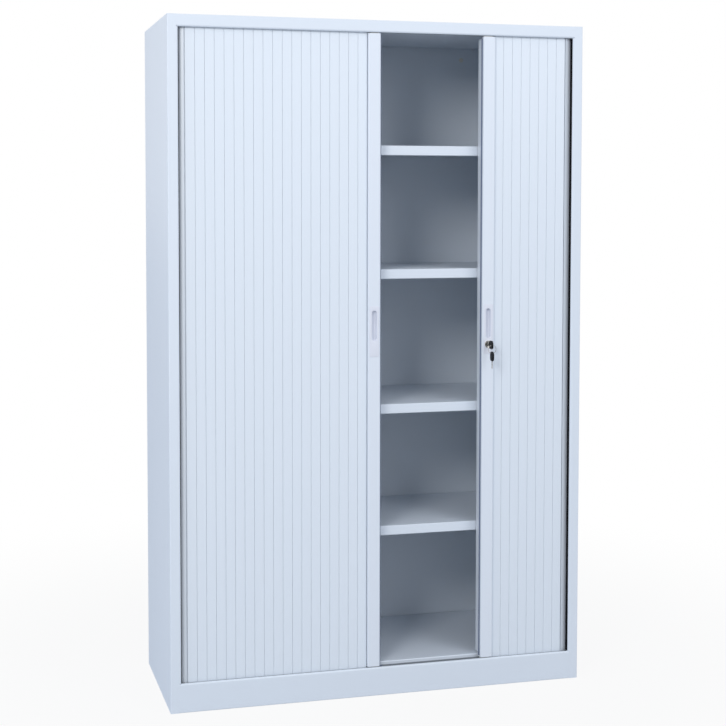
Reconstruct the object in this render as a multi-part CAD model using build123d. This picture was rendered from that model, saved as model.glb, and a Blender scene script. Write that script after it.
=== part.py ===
from build123d import *
from math import atan2, cos, degrees, hypot, radians, sin, sqrt
import os

# Side-rolling tambour cabinet, in millimetres.  The origin is on the floor under the middle of the
# carcass, +X to the right, +Y to the back and +Z up.  The left door stands closed.  The right door
# stands open.

# ---------------------------------------------------------------- driving dimensions: carcass
WIDTH = 1220.0
DEPTH = 460.0
HEIGHT = 1930.0
SHEET = 1.0
BEND = 1.5
STILE = 30.0
REAR_RETURN = 20.0
FASCIA = 34.0
PLINTH = 82.0
FRONT_LEDGE = 8.0
FRONT_ROUND = 4.0
LEDGE_LIP = 7.0
PLINTH_FOOT = 20.0
PAN_DROP = 10.0
PAN_FLANGE = 20.0
PAN_SETBACK = 10.0
CEILING_DROP = 24.0
BACK_INSET = 3.0
FLOOR_RISE = 18.0
FLOOR_SETBACK = 27.0
ANCHOR_SPACING = 800.0
ANCHOR_R = 4.0
ANCHOR_DROP = 60.0

# ---------------------------------------------------------------- driving dimensions: interior
LINER_STANDOFF = 5.7
LINER_FRONT = 58.0
SLOT_PITCH = 35.5
SLOT_WIDTH = 5.0
SLOT_HEIGHT = 15.0
SLOT_FRONT = 95.0
SLOT_REAR = 45.0
SHELF_STEPS = (11, 21, 32, 42)
SPARE_ROWS = 1
SHELF_FRONT = 50.0
SHELF_FACE = 28.0
SHELF_FLANGE = 20.0
SHELF_LIP = 12.0
SHELF_PLAY = 1.5
CLIP_WIDTH = 16.0
CLIP_HEIGHT = 20.0
CLIP_LEDGE = 14.0
CLIP_SHEET = 1.2
CLIP_HOOK = 3.4
CLIP_BARB = 1.5

# ---------------------------------------------------------------- driving dimensions: curtains
SLAT_NOMINAL = 27.3
FACE_SETBACK = 13.0
SIDE_INSET = 14.33
SLAT_FACE = 6.0
SLAT_SKIN = 1.4
SLAT_WALL = 1.0
SLAT_REAR = 2.2
SLAT_SHOULDER = 4.5
GROOVE = 0.25
GROOVE_CHAMFER = 0.45
BEAD_R = 1.6
BEAD_NECK = 1.0
SOCKET_PLAY = 0.25
SOCKET_WALL = 1.2
SOCKET_FROM = 30.0
SOCKET_TO = 285.0
SOCKET_SIDES = 4
BEAD_SIDES = 8
TAIL_SLATS = 3
CORNER_SLATS = 2
CORNER_TURN = 90.0
TAIL_CLEARANCE = 15.0
END_PLAY = 0.5
TOP_PLAY = 1.5

# ---------------------------------------------------------------- driving dimensions: guides
RAIL_BASE = 2.0
RAIL_WALL = 1.5
RAIL_DEPTH = 7.0
RAIL_PLAY = 0.5
CORNER_PLAY = 0.75
STOP_PLAY = 0.4
STOP_LENGTH = 5.0

# ---------------------------------------------------------------- driving dimensions: door bars
BAR_WIDTH = 37.3
BAR_FACE = 15.0
BAR_WALL = 1.5
BAR_CORNER = 3.0
BAR_LIP = 1.0
BAR_LEG = 42.0
LEG_CLEARANCE = 5.0
BAR_PLAY = 2.5
DOOR_GAP = 8.0
SEAL_WIDTH = 10.0
SEAL_THICK = 3.7
SEAL_INSET = 4.0
SEAL_CHAMFER = 1.4
SHOE_LENGTH = 25.0
SHOE_PLUG = 24.0
SHOE_FIT = 0.3

# ---------------------------------------------------------------- driving dimensions: grip, lock
GRIP_WIDTH = 28.0
GRIP_BOTTOM = 979.0
GRIP_TOP = 1124.0
GRIP_PLATE = 1.2
GRIP_CORNER = 4.0
RECESS_WIDTH = 14.0
RECESS_LENGTH = 86.0
RECESS_CENTRE = 1068.0
RECESS_DEPTH = 11.0
RECESS_WALL = 1.2
LOCK_Z = 1007.0
LOCK_FLANGE_R = 11.0
LOCK_FLANGE = 2.2
LOCK_BODY_R = 9.0
LOCK_FIT = 0.1
PLUG_R = 6.0
NUT_ACROSS = 24.0
NUT_THICK = 3.0
CAM_THICK = 2.0
CAM_REACH = 33.0
CAM_HALF = 4.5
CAM_HUB_R = 7.5
CAM_GAP = 0.2
CAM_SQUARE = 5.0
CAM_NOTCH = 4.1
CAM_NOTCH_DEPTH = 3.0
STRIKE_PLATE = 1.5
STRIKE_HEIGHT = 60.0
STRIKE_WIDTH = 12.0
STRIKE_PLAY = 0.5
KEY_BLADE = 1.2
KEY_BLADE_HEIGHT = 6.6
KEY_BLADE_DEPTH = 15.0
KEY_STICKOUT = 7.0
KEY_BOW_LENGTH = 28.0
KEY_BOW_WIDTH = 24.0
KEY_BOW_THICK = 4.5
KEY_BOW_CORNER = 9.0
KEY_HOLE_R = 3.0
KEY_HOLE_EDGE = 5.5
RING_R = 12.0
RING_WIDTH = 2.4
RING_THICK = 1.0

# ---------------------------------------------------------------- derived: carcass planes
HALF = WIDTH / 2
FRONT = -DEPTH / 2
BACK = DEPTH / 2
LEDGE = FRONT + FRONT_LEDGE
INNER = HALF - SHEET
OPENING_HALF = HALF - STILE
JOINT_HALF = OPENING_HALF + FRONT_ROUND + SHEET
OPENING_TOP = HEIGHT - FASCIA
PAN_TOP = PLINTH - PAN_DROP
PAN_FRONT = FRONT + PAN_SETBACK
PAN_BACK = BACK - SHEET - BACK_INSET
CEILING = HEIGHT - CEILING_DROP
FLOOR_TOP = PAN_TOP + FLOOR_RISE
FLOOR_FRONT = FRONT + FLOOR_SETBACK

# ---------------------------------------------------------------- derived: curtain path
PATH_Y = FRONT + FACE_SETBACK + SLAT_FACE
PATH_X = HALF - SIDE_INSET
CORNER_STEP = CORNER_TURN / CORNER_SLATS
PITCH_PER_RADIUS = 2 * sin(radians(CORNER_STEP / 2))
STRAIGHT = PATH_X - BAR_WIDTH - DOOR_GAP / 2
CLOSED_SLATS = round(STRAIGHT / SLAT_NOMINAL - 1 / PITCH_PER_RADIUS)
PITCH = STRAIGHT / (CLOSED_SLATS + 1 / PITCH_PER_RADIUS)
CORNER_R = PITCH / PITCH_PER_RADIUS
CORNER_X = PATH_X - CORNER_R
CORNER_Y = PATH_Y + CORNER_R
SIDE_SLATS = int((BACK - TAIL_CLEARANCE - CORNER_Y) / PITCH)
TRAVEL_SLATS = SIDE_SLATS - TAIL_SLATS
OPEN_SLATS = CLOSED_SLATS - TRAVEL_SLATS
STRIP_SLATS = TRAVEL_SLATS - CORNER_SLATS
SLAT_BOTTOM = PAN_TOP + RAIL_BASE + END_PLAY
SLAT_TOP = CEILING - RAIL_BASE - TOP_PLAY
SOCKET_R = BEAD_R + SOCKET_PLAY
SOCKET_OUTER = SOCKET_R + SOCKET_WALL

# ---------------------------------------------------------------- derived: guides and interior
GROOVE_OUT = SLAT_FACE + RAIL_PLAY
GROOVE_IN = SOCKET_OUTER + RAIL_PLAY
CHORD_DROP = CORNER_R * (1 - cos(radians(CORNER_STEP / 2)))
CORNER_OUTER = hypot(CORNER_R - CHORD_DROP + SLAT_FACE, PITCH / 2) + 2 * RAIL_PLAY
CORNER_INNER = CORNER_R - CHORD_DROP - SLAT_REAR - CORNER_PLAY
LINER = PATH_X - LINER_STANDOFF
CLEAR_HALF = LINER - SHEET
SHELF_HALF = CLEAR_HALF - SHELF_PLAY
SHELF_EDGE = FRONT + SHELF_FRONT
SHELF_TOPS = [FLOOR_TOP + step * SLOT_PITCH for step in SHELF_STEPS]
CLIP_DROP = SHELF_FLANGE + CLIP_HEIGHT / 2
CLIP_PLACES = (FRONT + SLOT_FRONT, BACK - SLOT_REAR)

# ---------------------------------------------------------------- derived: door bars and lock
BAR_BOTTOM = PLINTH + BAR_PLAY
BAR_TOP = OPENING_TOP - BAR_PLAY
BAR_MIDDLE = -(BAR_WIDTH + BAR_LIP) / 2
PLATE_FACE = BAR_FACE + GRIP_PLATE
CAM_FRONT = -SLAT_REAR - NUT_THICK - CAM_GAP
CAM_BACK = CAM_FRONT - CAM_THICK


# ---------------------------------------------------------------- shape helpers
def block(x0, x1, y0, y1, z0, z1):
    """A box between two opposite corners."""
    return Pos((x0 + x1) / 2, (y0 + y1) / 2, (z0 + z1) / 2) * Box(x1 - x0, y1 - y0, z1 - z0)


def left_normal(start, end):
    """The unit vector to the left of the line from start to end."""
    run = hypot(end[0] - start[0], end[1] - start[1])
    return (start[1] - end[1]) / run, (end[0] - start[0]) / run


def shifted(points, distance):
    """An open line moved to its left, with mitred corners."""
    normals = [left_normal(a, b) for a, b in zip(points, points[1:])]
    before = [normals[0]] + normals
    after = normals + [normals[-1]]
    moved = []
    for (x, y), (ax, ay), (bx, by) in zip(points, before, after):
        scale = distance / (1 + ax * bx + ay * by)
        moved.append((x + (ax + bx) * scale, y + (ay + by) * scale))
    return moved


def folded(points, thickness, bends=None):
    """The section of a folded sheet: an open line, thickened to its left, with round bends."""
    normals = [left_normal(a, b) for a, b in zip(points, points[1:])]
    bends = bends or [BEND] * (len(normals) - 1)
    outside = []
    inside = []
    for (ax, ay), (bx, by), bend in zip(normals, normals[1:], bends):
        turns_left = ax * by - ay * bx > 0
        wraps = turns_left == (thickness > 0)
        outside.append(bend + abs(thickness) if wraps else bend)
        inside.append(bend if wraps else bend + abs(thickness))
    other = shifted(points, thickness)
    edges = FilletPolyline(*points, radius=outside).edges()
    edges += FilletPolyline(*other, radius=inside).edges()
    edges += [Line(points[0], other[0]).edge(), Line(points[-1], other[-1]).edge()]
    return make_face(edges)


def along_x(section, x0, x1):
    """A section drawn in Y and Z, pulled from x0 to x1."""
    return extrude(Plane.YZ.offset(x0) * section, amount=x1 - x0)


def upright(section, z0, z1):
    """A section drawn in X and Y, pulled from z0 to z1."""
    return extrude(Pos(0, 0, z0) * section, amount=z1 - z0)


def stadium(width, length, depth, middle_z, y_front):
    """An upright round-ended block of the given depth behind y_front, centred on X = 0."""
    outline = Plane.XZ * Pos(0, middle_z) * SlotOverall(length, width, rotation=90)
    return Pos(0, y_front, 0) * extrude(outline, amount=-depth)


def rod_y(radius, y0, y1, x=0.0, z=0.0):
    """A round bar along Y."""
    return Pos(x, (y0 + y1) / 2, z) * Rot(90, 0, 0) * Cylinder(radius, y1 - y0)


def handed(shape, side):
    """The shape as drawn for the right, or mirrored for the left."""
    return shape if side == "right" else mirror(shape, about=Plane.YZ)


def group(solids):
    """Separate solids kept as one node."""
    return Compound(children=list(solids))


# ---------------------------------------------------------------- carcass
def side_panel():
    """Outer skin with the stile and the rear return.  Beside the opening the stile turns in."""
    skin = [(HALF, FRONT), (HALF, BACK), (HALF - REAR_RETURN, BACK)]
    plain = folded([(JOINT_HALF, FRONT), *skin], SHEET)
    lipped = [(OPENING_HALF, LEDGE), (OPENING_HALF, FRONT), *skin]
    lipped = folded(lipped, SHEET, [FRONT_ROUND, BEND, BEND])
    beside_plinth = upright(plain, 0, PLINTH)
    beside_opening = upright(lipped, PLINTH, OPENING_TOP)
    return beside_plinth + beside_opening + upright(plain, OPENING_TOP, HEIGHT)


def top_panel():
    """Top sheet with the fascia, its return ledge and the rear flange."""
    line = [
        (LEDGE, OPENING_TOP + LEDGE_LIP),
        (LEDGE, OPENING_TOP),
        (FRONT, OPENING_TOP),
        (FRONT, HEIGHT),
        (BACK, HEIGHT),
        (BACK, HEIGHT - REAR_RETURN),
    ]
    bends = [BEND, FRONT_ROUND, BEND, BEND]
    between = along_x(folded(line, -SHEET, bends), -JOINT_HALF, JOINT_HALF)
    reach = DEPTH / 2 - SHEET - BEND - END_PLAY
    sheet = block(-INNER, INNER, -reach, reach, HEIGHT - SHEET, HEIGHT)
    return between + sheet


def plinth():
    """Base front with its rounded top ledge, and the foot that runs right round the floor."""
    line = [
        (LEDGE, PLINTH - LEDGE_LIP),
        (LEDGE, PLINTH),
        (FRONT, PLINTH),
        (FRONT, 0),
        (FRONT + PLINTH_FOOT, 0),
    ]
    front = along_x(folded(line, SHEET, [BEND, FRONT_ROUND, BEND]), -JOINT_HALF, JOINT_HALF)
    start = LEDGE + SHEET
    end = PAN_BACK
    ring = block(-INNER, INNER, start, end, 0, SHEET)
    inside = INNER - PLINTH_FOOT
    ring -= block(-inside, inside, FRONT + PLINTH_FOOT, end - PLINTH_FOOT, 0, SHEET)
    return front + ring


def back_panel():
    """Back sheet inside the rear returns, with two wall-anchor holes near the top."""
    reach = INNER - BEND
    sheet = block(-reach, reach, BACK - 2 * SHEET, BACK - SHEET, 0, HEIGHT - SHEET - BEND)
    for x in (-ANCHOR_SPACING / 2, ANCHOR_SPACING / 2):
        sheet -= rod_y(ANCHOR_R, BACK - 3 * SHEET, BACK, x, HEIGHT - ANCHOR_DROP)
    return sheet


def base_pan():
    """Full-width pan over the plinth that carries the lower guides, the liners and the floor."""
    line = [
        (PAN_FRONT, PAN_TOP - PAN_FLANGE),
        (PAN_FRONT, PAN_TOP),
        (PAN_BACK, PAN_TOP),
        (PAN_BACK, PAN_TOP - PAN_FLANGE),
    ]
    return along_x(folded(line, -SHEET), -INNER, INNER)


def ceiling_pan():
    """Full-width pan under the top that carries the upper guides."""
    line = [
        (PAN_FRONT, HEIGHT - SHEET),
        (PAN_FRONT, CEILING),
        (PAN_BACK, CEILING),
        (PAN_BACK, HEIGHT - SHEET),
    ]
    return along_x(folded(line, SHEET), -INNER, INNER)


def cabinet_floor():
    """Raised floor of the bottom compartment, rounded at the front to clear the corner guides."""
    line = [
        (FLOOR_FRONT, PAN_TOP),
        (FLOOR_FRONT, FLOOR_TOP),
        (PAN_BACK, FLOOR_TOP),
        (PAN_BACK, PAN_TOP),
    ]
    tray = along_x(folded(line, -SHEET), -SHELF_HALF, SHELF_HALF)
    rounding = CORNER_INNER - RAIL_WALL - SHELF_PLAY / 2
    reach = min(SHELF_HALF, CORNER_X + rounding)
    outline = Pos(0, (FLOOR_FRONT + BACK) / 2) * Rectangle(2 * reach, BACK - FLOOR_FRONT)
    outline = fillet(outline.vertices().group_by(Axis.Y)[0], rounding)
    return tray & upright(outline, 0, HEIGHT)


# ---------------------------------------------------------------- interior
def liner():
    """Inner side sheet that hides the rolled-back curtain, pierced for the shelf clips."""
    sheet = block(LINER - SHEET, LINER, FRONT + LINER_FRONT, PAN_BACK, PAN_TOP, CEILING)
    slots = []
    for top in SHELF_TOPS:
        for row in range(-SPARE_ROWS, SPARE_ROWS + 1):
            z = top + row * SLOT_PITCH - CLIP_DROP
            for y in CLIP_PLACES:
                slots.append(Pos(LINER, y, z) * Box(4 * SHEET, SLOT_WIDTH, SLOT_HEIGHT))
    return sheet - slots


def shelf(top):
    """Folded shelf: a deep front face with a return, and flanges at the back and the ends."""
    line = [
        (SHELF_EDGE + SHELF_LIP, top - SHELF_FACE),
        (SHELF_EDGE, top - SHELF_FACE),
        (SHELF_EDGE, top),
        (PAN_BACK, top),
        (PAN_BACK, top - SHELF_FLANGE),
    ]
    body = along_x(folded(line, -SHEET), -SHELF_HALF, SHELF_HALF)
    inside = SHELF_EDGE + SHEET + BEND
    outside = PAN_BACK - SHEET - BEND
    for end in (-SHELF_HALF, SHELF_HALF - SHEET):
        body += block(end, end + SHEET, inside, outside, top - SHELF_FLANGE, top - SHEET / 2)
    return body


def shelf_clip(y, shelf_top):
    """Right-hand clip: a plate on the liner, a ledge under the shelf and a hook through the slot."""
    under = shelf_top - SHELF_FLANGE
    middle = under - CLIP_HEIGHT / 2
    near = LINER - SHEET
    reach = LINER + CLIP_BARB
    wide = (y - CLIP_WIDTH / 2, y + CLIP_WIDTH / 2)
    narrow = (y - CLIP_HOOK / 2, y + CLIP_HOOK / 2)
    clip = block(near - CLIP_SHEET, near, *wide, under - CLIP_HEIGHT, under)
    clip += block(near - CLIP_LEDGE, near, *wide, under - CLIP_SHEET, under)
    clip += block(near, reach, *narrow, middle, middle + SLOT_HEIGHT / 2 - SHEET / 2)
    return clip + block(LINER + SHEET / 2, reach, *narrow, middle - SLOT_HEIGHT / 2, middle + SHEET)


def shelf_clips():
    """Four clips under each shelf."""
    clips = []
    for top in SHELF_TOPS:
        for y in CLIP_PLACES:
            clip = shelf_clip(y, top)
            clips += [clip, mirror(clip, about=Plane.YZ)]
    return group(clips)


# ---------------------------------------------------------------- guides
def channel_height(level):
    """Bottom and top of the channel's base and of its walls, for the lower or upper guides."""
    if level == "lower":
        return (PAN_TOP, PAN_TOP + RAIL_BASE), (PAN_TOP, PAN_TOP + RAIL_BASE + RAIL_DEPTH)
    return (CEILING - RAIL_BASE, CEILING), (CEILING - RAIL_BASE - RAIL_DEPTH, CEILING)


def front_rail(level):
    """Straight channel across the front, one length for both doors."""
    base, walls = channel_height(level)
    outer = PATH_Y - GROOVE_OUT
    inner = PATH_Y + GROOVE_IN
    rail = block(-CORNER_X, CORNER_X, outer - RAIL_WALL, inner + RAIL_WALL, *base)
    rail += block(-CORNER_X, CORNER_X, outer - RAIL_WALL, outer, *walls)
    rail += block(-CORNER_X, CORNER_X, inner, inner + RAIL_WALL, *walls)
    return rail


def quarter_ring(inner, outer, low, high):
    """A quarter ring about the corner centre, on the outside of the front right corner."""
    section = Circle(outer) - Circle(inner)
    section &= Pos(outer / 2, -outer / 2) * Rectangle(outer, outer)
    return Pos(CORNER_X, CORNER_Y, 0) * upright(section, low, high)


def corner_guide(level):
    """Curved channel that turns the curtain from the front into the side."""
    base, walls = channel_height(level)
    guide = quarter_ring(CORNER_INNER - RAIL_WALL, CORNER_OUTER + RAIL_WALL, *base)
    guide += quarter_ring(CORNER_INNER - RAIL_WALL, CORNER_INNER, *walls)
    guide += quarter_ring(CORNER_OUTER, CORNER_OUTER + RAIL_WALL, *walls)
    return guide


def tail_stop_y():
    """Where the last socket of the open curtain ends, with its play."""
    return CORNER_Y + SIDE_SLATS * PITCH + SOCKET_OUTER + STOP_PLAY


def side_rail(level):
    """Straight channel from the corner to the back, closed by the tail stop."""
    base, walls = channel_height(level)
    outer = PATH_X + GROOVE_OUT
    inner = PATH_X - GROOVE_IN
    end = tail_stop_y() + STOP_LENGTH
    rail = block(inner - RAIL_WALL, outer + RAIL_WALL, CORNER_Y, end, *base)
    rail += block(outer, outer + RAIL_WALL, CORNER_Y, end, *walls)
    rail += block(inner - RAIL_WALL, inner, CORNER_Y, end, *walls)
    return rail


def tail_stop(level):
    """Rubber block that ends the side channel."""
    base, walls = channel_height(level)
    low = base[1] if level == "lower" else walls[0]
    high = walls[1] if level == "lower" else base[0]
    y = tail_stop_y()
    return block(PATH_X - GROOVE_IN, PATH_X + GROOVE_OUT, y, y + STOP_LENGTH, low, high)


def centre_stop(level):
    """Rubber block in the front channel where the two doors meet."""
    base, walls = channel_height(level)
    low = base[1] if level == "lower" else walls[0]
    high = walls[1] if level == "lower" else base[0]
    half = DOOR_GAP / 2 + shoe_inset() - STOP_PLAY
    return block(-half, half, PATH_Y - GROOVE_OUT, PATH_Y + GROOVE_IN, low, high)


# ---------------------------------------------------------------- curtains
def flat(u, v):
    """A point of a curtain section: u along the path, v out towards the room."""
    return (u, -v)


def patch(*corners):
    """A filled outline through section points."""
    return make_face(Polyline(*[flat(u, v) for u, v in corners], close=True).edges())


def socket(u):
    """C-shaped socket about the hinge line at u, open towards the next slat and inwards."""
    step = (SOCKET_TO - SOCKET_FROM) / SOCKET_SIDES
    angles = [radians(SOCKET_FROM + step * i) for i in range(SOCKET_SIDES + 1)]
    vertex = SOCKET_R / cos(radians(step / 2))
    outer = [(u + SOCKET_OUTER * cos(a), SOCKET_OUTER * sin(a)) for a in angles]
    inner = [(u + vertex * cos(a), vertex * sin(a)) for a in reversed(angles)]
    return patch(*outer, *inner)


def slat_section(bead):
    """Hollow slat with the given bead at u = 0 and a socket one pitch further."""
    left = SLAT_SHOULDER
    right = PITCH - SLAT_SHOULDER
    under = SLAT_FACE - SLAT_SKIN
    skin = patch(
        (GROOVE, under),
        (GROOVE, SLAT_FACE - GROOVE_CHAMFER),
        (GROOVE + GROOVE_CHAMFER, SLAT_FACE),
        (PITCH - GROOVE - GROOVE_CHAMFER, SLAT_FACE),
        (PITCH - GROOVE, SLAT_FACE - GROOVE_CHAMFER),
        (PITCH - GROOVE, under),
    )
    box = patch((left, -SLAT_REAR), (left, under), (right, under), (right, -SLAT_REAR))
    hollow = patch(
        (left + SLAT_WALL, SLAT_WALL - SLAT_REAR),
        (left + SLAT_WALL, under),
        (right - SLAT_WALL, under),
        (right - SLAT_WALL, SLAT_WALL - SLAT_REAR),
    )
    half_neck = BEAD_NECK / 2
    neck = patch((0, half_neck), (left, half_neck), (left, -half_neck), (0, -half_neck))
    half_web = SOCKET_WALL / 2
    web_end = PITCH - SOCKET_R - SOCKET_WALL / 2
    web = patch((right, half_web), (web_end, half_web), (web_end, -half_web), (right, -half_web))
    return skin + (box - hollow) + neck + bead + web + socket(PITCH)


TURNING_SLAT = upright(slat_section(Circle(BEAD_R)), SLAT_BOTTOM, SLAT_TOP)
STRAIGHT_SLAT = upright(slat_section(RegularPolygon(BEAD_R, BEAD_SIDES)), SLAT_BOTTOM, SLAT_TOP)


def hinge_point(n):
    """The curtain's hinge line n pitches past the start of the right-hand corner."""
    if n <= 0:
        return CORNER_X + n * PITCH, PATH_Y
    if n >= CORNER_SLATS:
        return PATH_X, CORNER_Y + (n - CORNER_SLATS) * PITCH
    turn = radians(n * CORNER_STEP)
    return CORNER_X + CORNER_R * sin(turn), CORNER_Y - CORNER_R * cos(turn)


def slat_at(n, slat):
    """One slat from hinge line n to the next."""
    x0, y0 = hinge_point(n)
    x1, y1 = hinge_point(n + 1)
    return Pos(x0, y0, 0) * Rot(0, 0, degrees(atan2(y1 - y0, x1 - x0))) * slat


def curtain(slats, slats_in_front):
    """The slats of one node.  Its first bead turns on a round, and the others keep straight."""
    first, *others = [k - 1 - slats_in_front for k in slats]
    return group([slat_at(first, TURNING_SLAT)] + [slat_at(n, STRAIGHT_SLAT) for n in others])


def curtain_groups():
    """Slat numbers of each curtain node, counted from the door bar."""
    first_link = OPEN_SLATS + 1
    half_strip = STRIP_SLATS // 2
    strip = OPEN_SLATS + CORNER_SLATS
    last_link = CLOSED_SLATS + 1
    tail = CLOSED_SLATS + CORNER_SLATS
    return {
        "curtain_front": range(1, OPEN_SLATS + 1),
        "curtain_link_a": [first_link],
        "curtain_link_b": [first_link + 1],
        "curtain_strip_a": range(strip + 1, strip + half_strip + 1),
        "curtain_strip_b": range(strip + half_strip + 1, CLOSED_SLATS + 1),
        "curtain_link_c": [last_link],
        "curtain_link_d": [last_link + 1],
        "curtain_tail": range(tail + 1, tail + TAIL_SLATS + 1),
    }


# ---------------------------------------------------------------- door bars, from the first hinge line
def bar_section():
    """Hollow bar with a round-edged face, the socket for the first slat and the closing leg."""
    shoulder = -SLAT_SHOULDER
    under = SLAT_FACE - SLAT_SKIN
    edge = -BAR_WIDTH
    body = patch(
        (edge, -SLAT_REAR),
        (edge, BAR_FACE),
        (-BAR_LIP, BAR_FACE),
        (-BAR_LIP, under),
        (shoulder, under),
        (shoulder, -SLAT_REAR),
    )
    rounded = [v for v in body.vertices() if abs(v.Y + BAR_FACE) < BAR_WALL / 2]
    body = fillet(rounded, BAR_CORNER)
    hollow = patch(
        (edge + BAR_WALL, BAR_WALL - SLAT_REAR),
        (edge + BAR_WALL, BAR_FACE - BAR_WALL),
        (-BAR_LIP - BAR_WALL, BAR_FACE - BAR_WALL),
        (-BAR_LIP - BAR_WALL, under + BAR_WALL),
        (shoulder - BAR_WALL, under + BAR_WALL),
        (shoulder - BAR_WALL, BAR_WALL - SLAT_REAR),
    )
    inner_round = [v for v in hollow.vertices() if abs(v.Y + BAR_FACE - BAR_WALL) < BAR_WALL / 2]
    hollow = fillet(inner_round, BAR_CORNER - BAR_WALL)
    half_web = SOCKET_WALL / 2
    web_end = -SOCKET_R - SOCKET_WALL / 2
    web = patch(
        (shoulder, half_web), (web_end, half_web), (web_end, -half_web), (shoulder, -half_web)
    )
    return (body - hollow) + web + socket(0)


def door_bar(side):
    """The bar with its leg, the grip opening, and the lock holes and slot or the strike slot."""
    bar = upright(bar_section(), BAR_BOTTOM, BAR_TOP)
    edge = -BAR_WIDTH
    bar += block(
        edge,
        edge + BAR_WALL,
        SLAT_REAR - BAR_WALL,
        BAR_LEG - BAR_FACE,
        FLOOR_TOP + LEG_CLEARANCE,
        BAR_TOP - LEG_CLEARANCE,
    )
    cup = RECESS_WIDTH + 2 * RECESS_WALL + 2 * SHOE_FIT
    cup_length = RECESS_LENGTH + 2 * RECESS_WALL + 2 * SHOE_FIT
    cup_front = -BAR_FACE - BAR_WALL / 2
    bar -= Pos(BAR_MIDDLE, 0, 0) * stadium(cup, cup_length, 2 * BAR_WALL, RECESS_CENTRE, cup_front)
    low, high = cam_slot(side)
    bar -= block(
        edge - BAR_WALL,
        edge + 2 * BAR_WALL,
        -CAM_FRONT - 2 * STRIKE_PLAY,
        -CAM_BACK + 2 * STRIKE_PLAY,
        low,
        high,
    )
    if side == "right":
        bore = LOCK_BODY_R + LOCK_FIT
        bar -= rod_y(bore, -BAR_FACE - BAR_WALL, 2 * SLAT_REAR, BAR_MIDDLE, LOCK_Z)
    return bar


def bar_edge_reach(side):
    """How far the leg's near and far faces stand from the lock axis when the doors are closed."""
    to_edge = BAR_WIDTH + BAR_MIDDLE
    if side == "right":
        return to_edge - BAR_WALL, to_edge
    return to_edge + DOOR_GAP, to_edge + DOOR_GAP + BAR_WALL + STRIKE_PLATE


def cam_slot(side):
    """Bottom and top of the slot that the cam swings through."""
    near, _ = bar_edge_reach(side)
    tip = hypot(CAM_REACH, CAM_HALF)
    high = LOCK_Z + sqrt(tip * tip - near * near) + 2 * STRIKE_PLAY
    if side == "right":
        return LOCK_Z - CAM_HALF - STRIKE_PLAY, high
    return LOCK_Z - CAM_HALF + CAM_NOTCH_DEPTH - STRIKE_PLAY, high


def shoe_inset():
    """From the bar's closing edge to the guide shoe."""
    return BAR_WALL + SHOE_FIT + BAR_WALL


def guide_shoe(level):
    """Nylon shoe that plugs into the end of the bar and slides in the front channel."""
    start = -BAR_WIDTH + shoe_inset()
    foot_front = PATH_Y - GROOVE_OUT + SHOE_FIT - PATH_Y
    foot_back = GROOVE_IN - SHOE_FIT
    if level == "lower":
        foot = (SLAT_BOTTOM, BAR_BOTTOM)
        plug = (BAR_BOTTOM - SHEET, BAR_BOTTOM + SHOE_PLUG)
    else:
        foot = (BAR_TOP, SLAT_TOP)
        plug = (BAR_TOP - SHOE_PLUG, BAR_TOP + SHEET)
    shoe = block(start, start + SHOE_LENGTH, foot_front, foot_back, *foot)
    shoe += block(
        start,
        start + SHOE_LENGTH,
        -BAR_FACE + BAR_WALL + SHOE_FIT,
        SLAT_REAR - BAR_WALL - SHOE_FIT,
        *plug,
    )
    return shoe


def edge_seal():
    """Rubber strip with bevelled edges on the bar's closing face."""
    root = -BAR_WIDTH
    tip = root - SEAL_THICK
    start = BAR_FACE - SEAL_INSET
    end = start - SEAL_WIDTH
    outline = patch(
        (root, start),
        (tip + SEAL_CHAMFER, start),
        (tip, start - SEAL_CHAMFER),
        (tip, end + SEAL_CHAMFER),
        (tip + SEAL_CHAMFER, end),
        (root, end),
    )
    return upright(outline, BAR_BOTTOM + LEG_CLEARANCE, BAR_TOP - LEG_CLEARANCE)


def grip(side):
    """Face plate with a round-ended finger recess, cupped back into the bar."""
    outline = Pos(BAR_MIDDLE, (GRIP_BOTTOM + GRIP_TOP) / 2) * RectangleRounded(
        GRIP_WIDTH, GRIP_TOP - GRIP_BOTTOM, GRIP_CORNER
    )
    plate = Pos(0, -BAR_FACE, 0) * extrude(Plane.XZ * outline, amount=GRIP_PLATE)
    cup_width = RECESS_WIDTH + 2 * RECESS_WALL
    cup_length = RECESS_LENGTH + 2 * RECESS_WALL
    cup_depth = RECESS_DEPTH + RECESS_WALL - GRIP_PLATE
    cup = stadium(cup_width, cup_length, cup_depth, RECESS_CENTRE, -BAR_FACE)
    hollow = stadium(RECESS_WIDTH, RECESS_LENGTH, RECESS_DEPTH, RECESS_CENTRE, -PLATE_FACE)
    piece = plate + Pos(BAR_MIDDLE, 0, 0) * (cup - hollow) - Pos(BAR_MIDDLE, 0, 0) * hollow
    if side == "right":
        bore = LOCK_BODY_R + LOCK_FIT
        piece -= rod_y(bore, -PLATE_FACE - SHEET, -BAR_FACE + SHEET, BAR_MIDDLE, LOCK_Z)
    return piece


# ---------------------------------------------------------------- lock, on the right bar's own axes
def lock_housing():
    """Cylinder with a dished flange, bored for the plug."""
    body = rod_y(LOCK_BODY_R, -PLATE_FACE, -CAM_FRONT - CAM_GAP)
    flange = rod_y(LOCK_FLANGE_R, -PLATE_FACE - LOCK_FLANGE, -PLATE_FACE)
    rim = flange.edges().group_by(Axis.Y)[0]
    housing = chamfer(rim, LOCK_FLANGE / 3) + body
    return housing - rod_y(PLUG_R + LOCK_FIT, -PLATE_FACE - 2 * LOCK_FLANGE, SLAT_REAR + 2 * NUT_THICK)


def lock_nut():
    """Hexagon nut that clamps the housing behind the bar."""
    outline = RegularPolygon(NUT_ACROSS / 2, 6, major_radius=False)
    nut = Pos(0, SLAT_REAR, 0) * extrude(Plane.XZ * outline, amount=-NUT_THICK)
    return nut - rod_y(LOCK_BODY_R, SLAT_REAR - SHEET, SLAT_REAR + 2 * NUT_THICK)


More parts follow.
